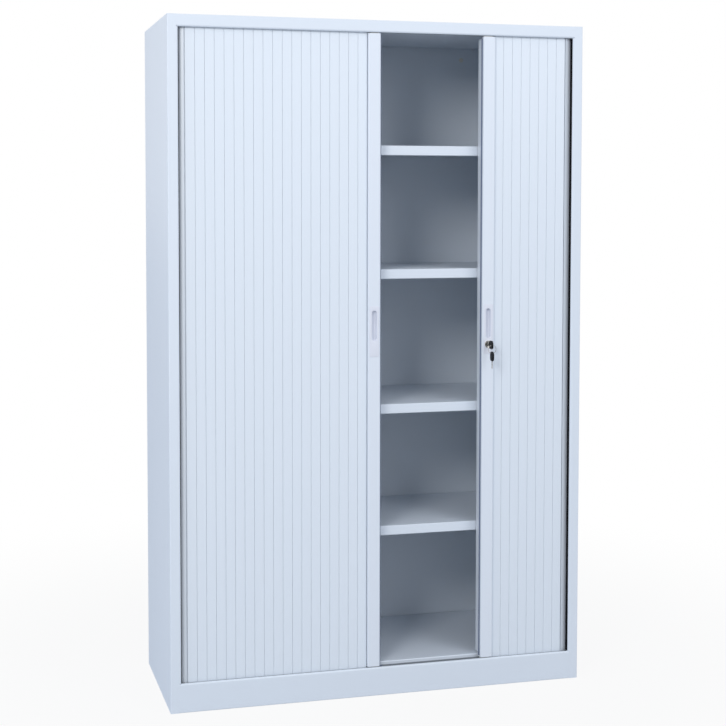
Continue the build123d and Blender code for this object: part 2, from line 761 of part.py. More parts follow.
def lock_plug():
    """Turning core with the keyway and the square tail for the cam."""
    face = -PLATE_FACE - LOCK_FLANGE + LOCK_FIT
    plug = rod_y(PLUG_R, face, -CAM_FRONT - CAM_GAP / 2)
    plug += block(
        -CAM_SQUARE / 2, CAM_SQUARE / 2, -CAM_FRONT - SHEET, -CAM_BACK, -CAM_SQUARE / 2, CAM_SQUARE / 2
    )
    half_way = KEY_BLADE / 2 + LOCK_FIT
    half_height = KEY_BLADE_HEIGHT / 2 + LOCK_FIT
    return plug - block(
        -half_way, half_way, face - SHEET, face + KEY_BLADE_DEPTH + LOCK_FIT, -half_height, half_height
    )


def lock_cam():
    """Hooked cam, drawn locked towards -X and stored turned up."""
    arm = patch((0, CAM_HALF), (-CAM_REACH, CAM_HALF), (-CAM_REACH, -CAM_HALF), (0, -CAM_HALF))
    near, far = bar_edge_reach("left")
    middle = (near + far) / 2
    notch = Pos(-middle, -CAM_HALF + CAM_NOTCH_DEPTH / 2) * Rectangle(CAM_NOTCH, CAM_NOTCH_DEPTH)
    eye = Rectangle(CAM_SQUARE + LOCK_FIT, CAM_SQUARE + LOCK_FIT)
    outline = arm + Circle(CAM_HUB_R) - notch - eye
    cam = extrude(Plane.XZ * outline, amount=-CAM_THICK)
    return Pos(0, -CAM_FRONT, 0) * Rot(0, 90, 0) * cam


def bow(edge_y):
    """Flat plastic bow in the YZ plane, from edge_y forwards, with the ring hole near its far end."""
    far = edge_y - KEY_BOW_LENGTH
    outline = RectangleRounded(KEY_BOW_LENGTH, KEY_BOW_WIDTH, KEY_BOW_CORNER)
    outline = Pos((edge_y + far) / 2, 0) * outline
    outline -= Pos(far + KEY_HOLE_EDGE, 0) * Circle(KEY_HOLE_R)
    return along_x(outline, -KEY_BOW_THICK / 2, KEY_BOW_THICK / 2)


def key_blade(start, length):
    """Flat steel blade in the YZ plane, from start towards +Y, with a pointed tip."""
    half = KEY_BLADE_HEIGHT / 2
    end = start + length
    outline = make_face(
        Polyline(
            (start, -half),
            (end - half, -half),
            (end, 0),
            (end - half, half),
            (start, half),
            close=True,
        ).edges()
    )
    return along_x(outline, -KEY_BLADE / 2, KEY_BLADE / 2)


def key_start():
    """Front edge of the key blade inside the bow, and the bow's near edge, as distances in Y."""
    face = -PLATE_FACE - LOCK_FLANGE
    return face - KEY_STICKOUT


def ring_axis():
    """Y of the ring hole in the inserted key."""
    return key_start() - KEY_BOW_LENGTH + KEY_HOLE_EDGE


def key():
    """The key in the lock: bow and blade."""
    near = key_start()
    blade = key_blade(near, KEY_STICKOUT + KEY_BLADE_DEPTH)
    return bow(near), blade


def key_ring():
    """Flat-wire ring through the bow's hole, hanging in the XZ plane."""
    half = RING_WIDTH / 2
    ring = rod_y(RING_R + RING_THICK / 2, -half, half) - rod_y(RING_R - RING_THICK / 2, -2 * half, 2 * half)
    return Pos(0, ring_axis(), -RING_R) * ring


def spare_key():
    """A second key that hangs from the bottom of the ring, blade down."""
    blade = key_blade(0, KEY_STICKOUT + KEY_BLADE_DEPTH)
    hole = -KEY_BOW_LENGTH + KEY_HOLE_EDGE
    place = Pos(0, ring_axis(), -2 * RING_R) * Rot(-90, 0, 0) * Pos(0, -hole, 0)
    return place * bow(0), place * blade


def strike_plate():
    """Steel plate behind the left bar's leg, slotted for the hooked cam."""
    start = -BAR_WIDTH + BAR_WALL
    low, high = cam_slot("left")
    near = SLAT_REAR + STRIKE_PLAY
    plate = block(
        start,
        start + STRIKE_PLATE,
        near,
        near + STRIKE_WIDTH,
        LOCK_Z - STRIKE_HEIGHT / 3,
        LOCK_Z + STRIKE_HEIGHT * 2 / 3,
    )
    slot = block(
        start - SHEET,
        start + 2 * STRIKE_PLATE,
        -CAM_FRONT - 2 * STRIKE_PLAY,
        -CAM_BACK + 2 * STRIKE_PLAY,
        low,
        high,
    )
    return plate - slot


# ---------------------------------------------------------------- assembly
def door(side):
    """Every node of one door, in its stored position."""
    slats_in_front = OPEN_SLATS if side == "right" else CLOSED_SLATS
    x, y = hinge_point(-slats_in_front)
    on_bar = Pos(x, y, 0)
    nodes = {
        "door_bar": on_bar * door_bar(side),
        "grip": on_bar * grip(side),
        "edge_seal": on_bar * edge_seal(),
        "guide_shoes": group([on_bar * guide_shoe("lower"), on_bar * guide_shoe("upper")]),
    }
    for name, slats in curtain_groups().items():
        nodes[name] = curtain(slats, slats_in_front)
    if side == "left":
        nodes["strike_plate"] = on_bar * strike_plate()
    return {f"{side}_{name}": handed(shape, side) for name, shape in nodes.items()}


def lock():
    """Every node of the lock and its keys, on the right door."""
    x, y = hinge_point(-OPEN_SLATS)
    place = Pos(x + BAR_MIDDLE, y, LOCK_Z)
    key_bow, key_steel = key()
    spare_bow, spare_steel = spare_key()
    return {
        "lock_housing": place * lock_housing(),
        "lock_nut": place * lock_nut(),
        "lock_plug": place * lock_plug(),
        "lock_cam": place * lock_cam(),
        "key_bow": place * key_bow,
        "key_blade": place * key_steel,
        "key_ring": place * key_ring(),
        "spare_key_bow": place * spare_bow,
        "spare_key_blade": place * spare_steel,
    }


def pair(shape):
    """A right-hand solid and its mirror image, kept as one node."""
    return group([shape, mirror(shape, about=Plane.YZ)])


def cabinet():
    """Every node by name."""
    nodes = {
        "right_side_panel": side_panel(),
        "left_side_panel": handed(side_panel(), "left"),
        "top_panel": top_panel(),
        "plinth": plinth(),
        "back_panel": back_panel(),
        "base_pan": base_pan(),
        "ceiling_pan": ceiling_pan(),
        "cabinet_floor": cabinet_floor(),
        "right_liner": liner(),
        "left_liner": handed(liner(), "left"),
        "shelf_clips": shelf_clips(),
    }
    for number, top in enumerate(SHELF_TOPS, start=1):
        nodes[f"shelf_{number}"] = shelf(top)
    for level in ("lower", "upper"):
        nodes[f"{level}_front_rail"] = front_rail(level)
        nodes[f"{level}_corner_guides"] = pair(corner_guide(level))
        nodes[f"{level}_side_rails"] = pair(side_rail(level))
    nodes["tail_stops"] = group(
        [shape for level in ("lower", "upper") for shape in pair(tail_stop(level)).solids()]
    )
    nodes["centre_stops"] = group([centre_stop("lower"), centre_stop("upper")])
    nodes.update(door("left"))
    nodes.update(door("right"))
    nodes.update(lock())
    return nodes


os.makedirs("parts", exist_ok=True)
for node_name, node_shape in cabinet().items():
    export_step(node_shape, f"parts/{node_name}.step")
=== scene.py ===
# %% [markdown]
# # A tambour cabinet in a studio
# The cabinet comes in as a finished frame of folded steel, slats, guides and a lock.  This lesson
# gives every surface its real finish, models the small moulded and turned pieces that deserve
# rounder edges, and sets up a plain studio.  Loading comes first, because each later step asks the
# frame where its pieces are.

# %% Load the frame
from math import atan2, copysign, cos, pi, radians, sin

import bmesh
import bpy
from mathutils import Matrix, Vector


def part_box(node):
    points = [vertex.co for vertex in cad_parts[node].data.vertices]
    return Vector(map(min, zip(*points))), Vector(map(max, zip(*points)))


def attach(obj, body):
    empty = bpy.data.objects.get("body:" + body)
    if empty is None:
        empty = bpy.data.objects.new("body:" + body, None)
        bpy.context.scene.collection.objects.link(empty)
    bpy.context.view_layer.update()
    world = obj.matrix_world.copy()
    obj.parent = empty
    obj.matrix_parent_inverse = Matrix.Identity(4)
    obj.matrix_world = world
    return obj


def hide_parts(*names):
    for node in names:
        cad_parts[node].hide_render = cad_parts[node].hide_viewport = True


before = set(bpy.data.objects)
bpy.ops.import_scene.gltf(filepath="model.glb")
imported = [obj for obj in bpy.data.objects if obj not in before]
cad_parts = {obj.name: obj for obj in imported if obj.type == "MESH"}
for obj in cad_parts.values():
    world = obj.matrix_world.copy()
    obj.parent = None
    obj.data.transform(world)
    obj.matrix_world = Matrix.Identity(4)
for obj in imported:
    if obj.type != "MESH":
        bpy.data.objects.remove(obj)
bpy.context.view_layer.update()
MM = 0.001

# %% [markdown]
# ## The camera
# The cabinet is seen from its left, a little turned, with upright edges that stay nearly upright.
# That is how a shift lens draws furniture: most of the downward look comes from moving the picture
# on the sensor, and only a few degrees from tilting the camera, which is what makes sides lean.

# %% Place the camera
PICTURE = 726.0
FOCAL_PIXELS = 1443.9
CENTRE_PIXELS = (327.8, 275.5)
CAMERA_PLACE = (-1.1877, -4.1491, 1.4255)
CAMERA_TURN = 0.25649
CAMERA_PITCH = radians(3.0)
SENSOR = 36.0

lens = bpy.data.cameras.new("studio_camera")
lens.sensor_width = SENSOR
lens.lens = FOCAL_PIXELS * SENSOR / PICTURE
lens.shift_x = (PICTURE / 2 - CENTRE_PIXELS[0]) / PICTURE
lens.shift_y = (CENTRE_PIXELS[1] - PICTURE / 2) / PICTURE
camera = bpy.data.objects.new("studio_camera", lens)
camera.location = CAMERA_PLACE
camera.rotation_euler = (pi / 2 - CAMERA_PITCH, 0, -CAMERA_TURN)
bpy.context.scene.collection.objects.link(camera)
bpy.context.scene.camera = camera
print("lens", round(lens.lens, 2), "mm")

# %% [markdown]
# ## Colours and nodes
# A colour is written as a designer would, as an sRGB hex value.  Blender mixes light in linear
# values, so one function turns the one into the other.  A second function adds a shader node,
# sets its sockets and plugs its inputs in, which keeps each material short enough to read.  Two
# more start a material and let its patterns drive the shader, which every finish here needs.

# %% Colour and node helpers
def linear(hex_colour):
    """An sRGB hex colour as linear red, green, blue and alpha."""
    channels = [int(hex_colour[i : i + 2], 16) / 255 for i in (1, 3, 5)]
    return (*[c / 12.92 if c <= 0.04045 else ((c + 0.055) / 1.055) ** 2.4 for c in channels], 1.0)


def add_node(tree, kind, settings=None, links=None):
    """One shader node.  Lower-case settings are its own options, and the others are its sockets."""
    made = tree.nodes.new(kind)
    for name, value in (settings or {}).items():
        if isinstance(name, str) and name.islower():
            setattr(made, name, value)
        else:
            made.inputs[name].default_value = value
    for name, source in (links or {}).items():
        tree.links.new(source, made.inputs[name])
    return made


def new_material(name, settings):
    """An empty material, its node tree, and its Principled shader with what is even all over."""
    material = bpy.data.materials.new(name)
    material.use_nodes = True
    tree = material.node_tree
    tree.nodes.clear()
    shader = add_node(tree, "ShaderNodeBsdfPrincipled", settings)
    add_node(tree, "ShaderNodeOutputMaterial", links={"Surface": shader.outputs["BSDF"]})
    return material, tree, shader


def patterned(tree, shader, pattern, roughness, swing, relief, colours=None, fade=None):
    """One pattern drives roughness and bump, and where colours are given another fades them.

    swing is how far the roughness goes to either side, relief a strength and a depth in
    millimetres, and colours two hex values.
    """
    reach = {"To Min": roughness + swing[0], "To Max": roughness + swing[1]}
    spread = add_node(tree, "ShaderNodeMapRange", reach, {"Value": pattern})
    bump = add_node(
        tree, "ShaderNodeBump", {"Strength": relief[0], "Distance": relief[1] * MM}, {"Height": pattern}
    )
    tree.links.new(spread.outputs["Result"], shader.inputs["Roughness"])
    tree.links.new(bump.outputs["Normal"], shader.inputs["Normal"])
    if colours:
        ends = {6: linear(colours[0]), 7: linear(colours[1])}
        tint = add_node(tree, "ShaderNodeMix", {"data_type": "RGBA", **ends}, {0: fade})
        tree.links.new(tint.outputs[2], shader.inputs["Base Color"])


print("white is", linear("#ffffff"))

# %% [markdown]
# ## Powder-coated steel
# The carcass, shelves and door bars are folded steel with a baked powder coat, in a cool light
# grey.  Powder melts into a skin with a slight orange peel, satin rather than glossy.  The peel
# is about two millimetres across, so it is a fine noise that drives the bump, and a second, slow
# noise keeps the wide panels from looking like paper: a coat is never equally thick all over.

# %% Powder coat
PEEL = 1 / (2.2 * MM)
PEEL_SWING = (-0.04, 0.05)
PEEL_BUMP = 0.35
DRIFT = 1 / (420 * MM)
RESIN_IOR = 1.5
SATIN_SPECULAR = 0.4


def powder_coat(name, colour, thin_colour, roughness, peel_depth):
    """Baked powder: a satin coat with orange peel and a slow drift between two near colours."""
    even = {"IOR": RESIN_IOR, "Specular IOR Level": SATIN_SPECULAR}
    material, tree, shader = new_material(name, even)
    place = add_node(tree, "ShaderNodeTexCoord").outputs["Object"]
    drift = add_node(
        tree, "ShaderNodeTexNoise", {"Scale": DRIFT, "Detail": 2.0, "Roughness": 0.45}, {"Vector": place}
    )
    peel = add_node(
        tree, "ShaderNodeTexNoise", {"Scale": PEEL, "Detail": 1.0, "Roughness": 0.4}, {"Vector": place}
    )
    pattern, fade = peel.outputs["Fac"], drift.outputs["Fac"]
    relief = (PEEL_BUMP, peel_depth)
    patterned(tree, shader, pattern, roughness, PEEL_SWING, relief, (thin_colour, colour), fade)
    return material


# A cool light grey skin, satin, that softens the highlight along every fold.
CARCASS_PAINT = powder_coat("powder_coated_steel_satin", "#dde5ef", "#d9e2ec", 0.42, 0.05)
# The same powder on the bars, a shade lighter and a little smoother from being handled.
BAR_PAINT = powder_coat("powder_coated_bar_satin", "#e0e7f1", "#dce4ee", 0.38, 0.04)
print("powder coats", CARCASS_PAINT.name, BAR_PAINT.name)

# %% [markdown]
# ## Extruded slats
# The slats are lengths of extruded polystyrene.  The die leaves hair lines that run the whole
# height, so their noise is stretched a thousand times along Z.  They are barely there: a touch of
# roughness and a bump of a few microns, with a satin face that is a shade brighter than the steel.

# %% Extruded slat plastic
DIE_LINE = 1 / (0.9 * MM)
DIE_RUN = 1 / (900 * MM)
DIE_SWING = (-0.05, 0.06)
DIE_BUMP = 0.25
POLYSTYRENE_IOR = 1.59


def extruded_plastic(name, colour, line_colour, roughness, line_depth):
    """Extruded plastic: satin, with hair lines along Z from the die."""
    even = {"IOR": POLYSTYRENE_IOR, "Specular IOR Level": SATIN_SPECULAR}
    material, tree, shader = new_material(name, even)
    place = add_node(tree, "ShaderNodeTexCoord").outputs["Object"]
    stretch = add_node(
        tree, "ShaderNodeMapping", {"Scale": (DIE_LINE, DIE_LINE, DIE_RUN)}, {"Vector": place}
    )
    lines = add_node(
        tree,
        "ShaderNodeTexNoise",
        {"Scale": 1.0, "Detail": 2.0, "Roughness": 0.6},
        {"Vector": stretch.outputs["Vector"]},
    )
    pattern = lines.outputs["Fac"]
    relief = (DIE_BUMP, line_depth)
    patterned(tree, shader, pattern, roughness, DIE_SWING, relief, (line_colour, colour), pattern)
    return material


# Slats read a touch brighter than the steel, with upright hair lines where light grazes them.
SLAT_PLASTIC = extruded_plastic("extruded_polystyrene_slats", "#e0e8f1", "#dce5ef", 0.40, 0.02)
# Guides are darker and duller, so that they sink back behind the doors.
RAIL_PLASTIC = extruded_plastic("extruded_guide_plastic_grey", "#8d949c", "#858c95", 0.45, 0.03)
print("extruded plastics", SLAT_PLASTIC.name, RAIL_PLASTIC.name)

# %% [markdown]
# ## Moulded plastics and rubber
# Grips, key bows, plugs and guide shoes are moulded in spark-eroded tools, which leave a fine even
# grain, and the seals and stops are matt rubber with a floury bloom.  One recipe covers them, and
# the black strips of painted shade beside the curtain too: a small noise for the grain, whose size,
# depth and gloss change with the tool.  The two blacks also reflect less than a bare plastic would,
# which is what keeps them black.

# %% Moulded plastic and rubber
GRAIN_SWING = (0.05, -0.06)
GRAIN_BUMP = 0.4
GRAIN_PEAKS = {"From Min": 0.45, "From Max": 0.75}


def moulded(name, colour, worn_colour, roughness, grain_mm, grain_depth, specular=0.5):
    """Moulded plastic or rubber: an even eroded grain, paler where its peaks have been handled."""
    material, tree, shader = new_material(name, {"IOR": RESIN_IOR, "Specular IOR Level": specular})
    place = add_node(tree, "ShaderNodeTexCoord").outputs["Object"]
    grain = add_node(
        tree,
        "ShaderNodeTexNoise",
        {"Scale": 1 / (grain_mm * MM), "Detail": 3.0, "Roughness": 0.55},
        {"Vector": place},
    )
    pattern = grain.outputs["Fac"]
    fade = add_node(tree, "ShaderNodeMapRange", GRAIN_PEAKS, {"Value": pattern}).outputs["Result"]
    relief = (GRAIN_BUMP, grain_depth)
    patterned(tree, shader, pattern, roughness, GRAIN_SWING, relief, (colour, worn_colour), fade)
    return material


# Pale lilac grey, so that the grip shows as a separate part in the blue-grey bar.
GRIP_PLASTIC = moulded("moulded_abs_cool_grey", "#dbdfea", "#e2e6f0", 0.40, 0.5, 0.02)
# Near black with a soft highlight along the edge of each bow.
KEY_PLASTIC = moulded("moulded_nylon_black", "#08080e", "#15161d", 0.42, 0.4, 0.02, specular=0.22)
# The milky white of nylon without a dye.
NYLON = moulded("moulded_nylon_natural", "#d9d8cf", "#e3e2da", 0.50, 0.6, 0.02)
# Slate grey and floury, with hardly a highlight.
RUBBER = moulded("extruded_rubber_grey", "#66718a", "#727d95", 0.65, 0.8, 0.04)
# The stiff foot of a seal, between the bar and the lip in colour.
SEAL_FOOT = moulded("extruded_pvc_pale_grey", "#c9d2dc", "#d1dae3", 0.50, 0.8, 0.03)
# Painted shade: a black strip that stands for the dark gap behind each stile, the darkest line of
# the whole cabinet.
PAINTED_SHADE_BLACK = moulded("painted_shade_black_strip", "#07070f", "#10111c", 0.85, 0.5, 0.08, specular=0.1)
print("moulded", [m.name for m in (GRIP_PLASTIC, KEY_PLASTIC, NYLON, RUBBER, SEAL_FOOT, PAINTED_SHADE_BLACK)])

# %% [markdown]
# ## Plated and bare metal
# The lock is nickel-plated zinc, buffed before plating.  The key blades are milled nickel silver
# with the cutter's fine lines, and the cam, nut, strike plate and clips are zinc plated, which is
# duller, with a cloudy spangle.  A metal gets its look from roughness and what it reflects, so
# the patterns go there and not into the colour.

# %% Metals
CLOUD_BUMP = 0.3


def plated(name, colour, roughness, cloud_mm, cloud_spread, scratch_depth):
    """Metal with cloudy roughness and a faint bump from the same clouds."""
    material, tree, shader = new_material(name, {"Base Color": linear(colour), "Metallic": 1.0})
    place = add_node(tree, "ShaderNodeTexCoord").outputs["Object"]
    clouds = add_node(
        tree,
        "ShaderNodeTexNoise",
        {"Scale": 1 / (cloud_mm * MM), "Detail": 4.0, "Roughness": 0.6},
        {"Vector": place},
    )
    swing = (-cloud_spread, cloud_spread)
    patterned(tree, shader, clouds.outputs["Fac"], roughness, swing, (CLOUD_BUMP, scratch_depth))
    return material


# Bright and slightly warm, the one thing on the front that mirrors the room.
NICKEL = plated("nickel_plated_zinc_satin", "#dcdad6", 0.26, 1.5, 0.06, 0.005)
# A warmer grey whose shine breaks up in fine clouds.
KEY_STEEL = plated("milled_nickel_silver", "#c9c7c0", 0.26, 0.5, 0.08, 0.01)
# Cool and cloudy, with the spangle of a thin zinc coat.
ZINC = plated("zinc_plated_steel", "#b9bdc1", 0.38, 4.0, 0.12, 0.01)
print("metals", NICKEL.name, KEY_STEEL.name, ZINC.name)

# %% [markdown]
# ## Finishes for the frame's own nodes
# Most of the frame already has its final shape: folded sheet, guides and slats.  Those nodes keep
# their mesh and only get a finish, chosen from their name.

# %% Give each node its finish
FINISHES = [
    ("curtain", SLAT_PLASTIC),
    ("door_bar", BAR_PAINT),
    ("grip", GRIP_PLASTIC),
    ("edge_seal", RUBBER),
    ("stops", RUBBER),
    ("guide_shoes", NYLON),
    ("corner_guides", RAIL_PLASTIC),
    ("rail", RAIL_PLASTIC),
    ("bow", KEY_PLASTIC),
    ("blade", KEY_STEEL),
    ("key_ring", KEY_STEEL),
    ("lock_housing", NICKEL),
    ("lock_plug", NICKEL),
    ("lock", ZINC),
    ("strike_plate", ZINC),
    ("clips", ZINC),
    ("", CARCASS_PAINT),
]
for name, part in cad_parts.items():
    finish = next(material for word, material in FINISHES if word in name)
    for slot in part.material_slots:
        slot.material = finish
print("finished", len(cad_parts), "nodes")

# %% [markdown]
# ## Loops that become mouldings
# A moulded plate, a finger cup or a key bow is a stack of outlines: each one a rounded rectangle,
# a little smaller or a little deeper than the one before.  Three or four outlines along a quarter
# circle make a soft edge.  The first outline comes from the circle operator, and every next one is
# extruded from the last and moved to its own size.  Bridging finished loops would do it too, but
# loops that are flat and off centre can be paired the wrong way round, and then the skin twists.
# A strip with one section all along is simpler: its outline is filled and pulled to its length.

# %% Outline helpers
RING_POINTS = 40
EDGE_STEPS = 4
SHARP_ANGLE = 35.0
MERGE_WITHIN = 0.002 * MM
FRONTWARDS = Matrix.Rotation(pi / 2, 4, "X")


def verts_of(geom):
    """The vertices among what an operator made."""
    return [item for item in geom if isinstance(item, bmesh.types.BMVert)]


def outline_place(turn, half_x, half_y, corner, z, centre=(0.0, 0.0)):
    """The point of a rounded rectangle that lies at one angle of its corner circle."""
    x = corner * cos(turn)
    y = corner * sin(turn)
    x += copysign(half_x - corner, x) + centre[0]
    y += copysign(half_y - corner, y) + centre[1]
    return Vector((x, y, z))


def lofted(bm, outlines, capped=True):
    """Skins a stack of outlines, each as the sizes that outline_place takes."""
    angle = bm.verts.layers.float.new("angle")
    start = Matrix.Rotation(pi / RING_POINTS, 4, "Z")
    ring = bmesh.ops.create_circle(bm, radius=1.0, segments=RING_POINTS, matrix=start)["verts"]
    for vert in ring:
        vert[angle] = atan2(vert.co.y, vert.co.x)
    edges = bm.edges[:]
    ends = [edges]
    for number, shape in enumerate(outlines):
        if number:
            grown = bmesh.ops.extrude_edge_only(bm, edges=edges)["geom"]
            ring = verts_of(grown)
            edges = [item for item in grown if isinstance(item, bmesh.types.BMEdge)]
            edges = [edge for edge in edges if all(vert in ring for vert in edge.verts)]
        for vert in ring:
            vert.co = outline_place(vert[angle], *shape)
    ends.append(edges)
    bm.verts.layers.float.remove(angle)
    if capped:
        for end in ends:
            bmesh.ops.contextual_create(bm, geom=end)


def pulled_section(section, bottom, top):
    """A closed outline in X and Y, filled and pulled from its bottom to its top height."""
    bm = bmesh.new()
    corners = [bm.verts.new((x, y, bottom)) for x, y in section]
    flat = bmesh.ops.contextual_create(bm, geom=corners)["faces"]
    lifted = bmesh.ops.extrude_face_region(bm, geom=flat)["geom"]
    bmesh.ops.translate(bm, verts=verts_of(lifted), vec=(0, 0, top - bottom))
    bm.normal_update()
    return bm


def new_piece(name, bm, place, material, crease=SHARP_ANGLE):
    """Moves a finished bmesh to its place in the cabinet and makes it a smooth-shaded object."""
    bmesh.ops.transform(bm, matrix=place, verts=bm.verts)
    bmesh.ops.remove_doubles(bm, verts=bm.verts, dist=MERGE_WITHIN)
    bmesh.ops.recalc_face_normals(bm, faces=bm.faces)
    mesh = bpy.data.meshes.new(name)
    bm.to_mesh(mesh)
    bm.free()
    mesh.shade_smooth()
    mesh.set_sharp_from_angle(angle=radians(crease))
    mesh.materials.append(material)
    piece = bpy.data.objects.new(name, mesh)
    bpy.context.scene.collection.objects.link(piece)
    print(name, len(mesh.polygons), "faces")
    return piece


def arc_steps(count):
    """Angles of a quarter circle, both ends included."""
    return [pi / 2 * i / count for i in range(count + 1)]


def middle_of(node):
    """The centre of a node's box."""
    low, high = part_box(node)
    return (low + high) / 2


def facing_front(node):
    """A place in the middle of a node's front, with Z towards the room."""
    low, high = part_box(node)
    return Matrix.Translation(((low.x + high.x) / 2, low.y, (low.z + high.z) / 2)) @ FRONTWARDS


print("a soft edge turns at", [round(angle, 3) for angle in arc_steps(EDGE_STEPS)])

# %% [markdown]
# ## The grips
# Each bar carries a moulded face plate with a round-ended finger recess.  The real one has soft
# outer edges, a rolled lip where the finger goes in, and a radius at the bottom of the cup, which
# is what makes the light turn round its lower end.  A boolean cut would leave those edges hard, so
# the plate is a stack of outlines that runs round the back, over the face and down into the cup.

# %% Grip plates
PLATE_THICK = 1.2 * MM
PLATE_CORNER = 4.0 * MM
PLATE_EDGE = 0.7 * MM
CUP_HALF = 7.0 * MM
CUP_LENGTH = 86.0 * MM
CUP_MIDDLE = 1068.0 * MM
CUP_LIP = 0.9 * MM
CUP_FLOOR = 4.0 * MM
CUP_WALL = 1.2 * MM
CUP_STEPS = 5


def grip_plate(side):
    """A face plate with its cup, drawn with Z towards the room and then stood upright."""
    low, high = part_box(f"{side}_grip")
    half_x = (high.x - low.x) / 2
    half_z = (high.z - low.z) / 2
    depth = high.y - low.y
    centre = (0, CUP_MIDDLE - (high.z + low.z) / 2)
    outer = (CUP_HALF + CUP_WALL, CUP_LENGTH / 2 + CUP_WALL, CUP_HALF + CUP_WALL)
    stack = [(*outer, z, centre) for z in (-depth, -PLATE_THICK)]
    stack.append((half_x, half_z, PLATE_CORNER, -PLATE_THICK))
    for turn in arc_steps(EDGE_STEPS):
        pull = PLATE_EDGE * (1 - cos(turn))
        rise = PLATE_EDGE * (sin(turn) - 1)
        stack.append((half_x - pull, half_z - pull, PLATE_CORNER - pull, rise))
    for turn in arc_steps(EDGE_STEPS):
        wide = CUP_LIP * (1 - sin(turn))
        drop = CUP_LIP * (cos(turn) - 1)
        stack.append((CUP_HALF + wide, CUP_LENGTH / 2 + wide, CUP_HALF + wide, drop, centre))
    for turn in arc_steps(CUP_STEPS):
        wide = -CUP_FLOOR * (1 - cos(turn))
        drop = CUP_WALL - depth + CUP_FLOOR * (1 - sin(turn))
        stack.append((CUP_HALF + wide, CUP_LENGTH / 2 + wide, CUP_HALF + wide, drop, centre))
    bm = bmesh.new()
    lofted(bm, stack)
    piece = new_piece(f"{side}_grip_plate", bm, facing_front(f"{side}_grip"), GRIP_PLASTIC)
    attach(piece, f"{side}_door")
    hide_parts(f"{side}_grip")


for side in ("left", "right"):
    grip_plate(side)

# %% [markdown]
# ## The lock housing
# The lock's face is a turned flange: a rounded rim, a dished face and a shallow step down to the
# core.  A shape made on a lathe is made the same way here.  Half of its section is drawn once and
# spun round the axis, with the first and last columns merged.

# %% Lock housing
FLANGE_R = 11.0 * MM
FLANGE_THICK = 2.2 * MM
RIM_ROUND = 0.8 * MM
DISH_R = 9.2 * MM
DISH_DROP = 0.1 * MM
STEP_R = 8.0 * MM
STEP_DROP = 0.5 * MM
BODY_R = 9.0 * MM
BORE_R = 6.1 * MM
BORE_DROP = 0.6 * MM
BORE_CHAMFER = 0.3 * MM
LATHE_STEPS = 48


def turned(name, section, place, material):
    """Spins a closed half section, as radius and height, round Z."""
    bm = bmesh.new()
    corners = [bm.verts.new((radius, 0, height)) for radius, height in section]
    profile = [bm.edges.new((a, b)) for a, b in zip(corners, corners[1:] + corners[:1])]
    bmesh.ops.spin(
        bm,
        geom=corners + profile,
        cent=(0, 0, 0),
        axis=(0, 0, 1),
        angle=2 * pi,
        steps=LATHE_STEPS,
        use_merge=True,
    )
    return new_piece(name, bm, place, material)


lock_low, lock_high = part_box("lock_housing")
lock_depth = lock_high.y - lock_low.y
rim = [
    (FLANGE_R - RIM_ROUND * (1 - sin(turn)), -RIM_ROUND * (1 - cos(turn)))
    for turn in arc_steps(EDGE_STEPS)
]
housing_section = [
    (BORE_R, -BORE_DROP - BORE_CHAMFER),
    (BORE_R + BORE_CHAMFER, -BORE_DROP),
    (STEP_R, -STEP_DROP),
    (DISH_R, -DISH_DROP),
    *rim,
    (FLANGE_R, -FLANGE_THICK),
    (BODY_R, -FLANGE_THICK),
    (BODY_R, -lock_depth),
    (BORE_R, -lock_depth),
]
housing = turned("lock_housing_turned", housing_section, facing_front("lock_housing"), NICKEL)
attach(housing, "right_door")
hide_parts("lock_housing")

# %% [markdown]
# ## The keys
# A key is a black moulded bow over a milled blade.  The bow is fullest in its middle and has a soft
# edge all round and a hole for the ring, so its stack of outlines closes on itself: out over one
# face, round the edge, back over the other face and through the hole.

# %% Key bows
BOW_EDGE = 1.4 * MM
BOW_CORNER = 9.0 * MM
HOLE_R = 3.0 * MM
HOLE_INSET = 5.5 * MM
HOLE_EDGE = 0.4 * MM
FACE_DROP = 0.5 * MM
FACE_INSET = 2.6 * MM


def key_bow(name, node, body, place):
    """A bow drawn flat, its ring hole towards -X, for a place matrix that stands it up."""
    low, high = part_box(node)
    thick, wide, long = sorted(high - low)
    hole = (-long / 2 + HOLE_INSET, 0.0)

    def half_stack(sign):
        """One face from the hole outwards, and its half of the soft edge."""
        face = sign * thick / 2
        steps = [(HOLE_R, HOLE_R, HOLE_R, face - sign * (FACE_DROP + HOLE_EDGE), hole)]
        mouth = HOLE_R + HOLE_EDGE
        steps.append((mouth, mouth, mouth, face - sign * FACE_DROP, hole))
        for inset, drop in ((FACE_INSET + HOLE_EDGE, FACE_DROP), (FACE_INSET, 0.0)):
            steps.append((long / 2 - inset, wide / 2 - inset, BOW_CORNER - inset, face - sign * drop))
        for turn in arc_steps(EDGE_STEPS):
            inset = BOW_EDGE * (1 - sin(turn))
            drop = BOW_EDGE * (1 - cos(turn))
            steps.append((long / 2 - inset, wide / 2 - inset, BOW_CORNER - inset, face - sign * drop))
        return steps

    front = half_stack(1)
    bm = bmesh.new()
    lofted(bm, front + half_stack(-1)[::-1] + front[:1], capped=False)
    bow = new_piece(name, bm, place, KEY_PLASTIC)
    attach(bow, body)
    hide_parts(node)


ON_EDGE = Matrix.Rotation(pi / 2, 4, "Y") @ Matrix.Rotation(pi / 2, 4, "Z")
HANGING = Matrix.Rotation(-pi / 2, 4, "X") @ ON_EDGE
KEYS = [("key", "lock_core", ON_EDGE), ("spare_key", "spare_key", HANGING)]
for key_name, key_body, stance in KEYS:
    bow_place = Matrix.Translation(middle_of(f"{key_name}_bow")) @ stance
    key_bow(f"{key_name}_bow_moulded", f"{key_name}_bow", key_body, bow_place)

# %% [markdown]
# ## Key blades
# The blade is a strip of nickel silver with a groove milled along both sides and cuts along both
# edges.  The outline with its cuts is drawn as a row of points, filled and pulled to the strip's
# thickness.  Two plane cuts then mark off the groove, and the faces between them are pushed in.

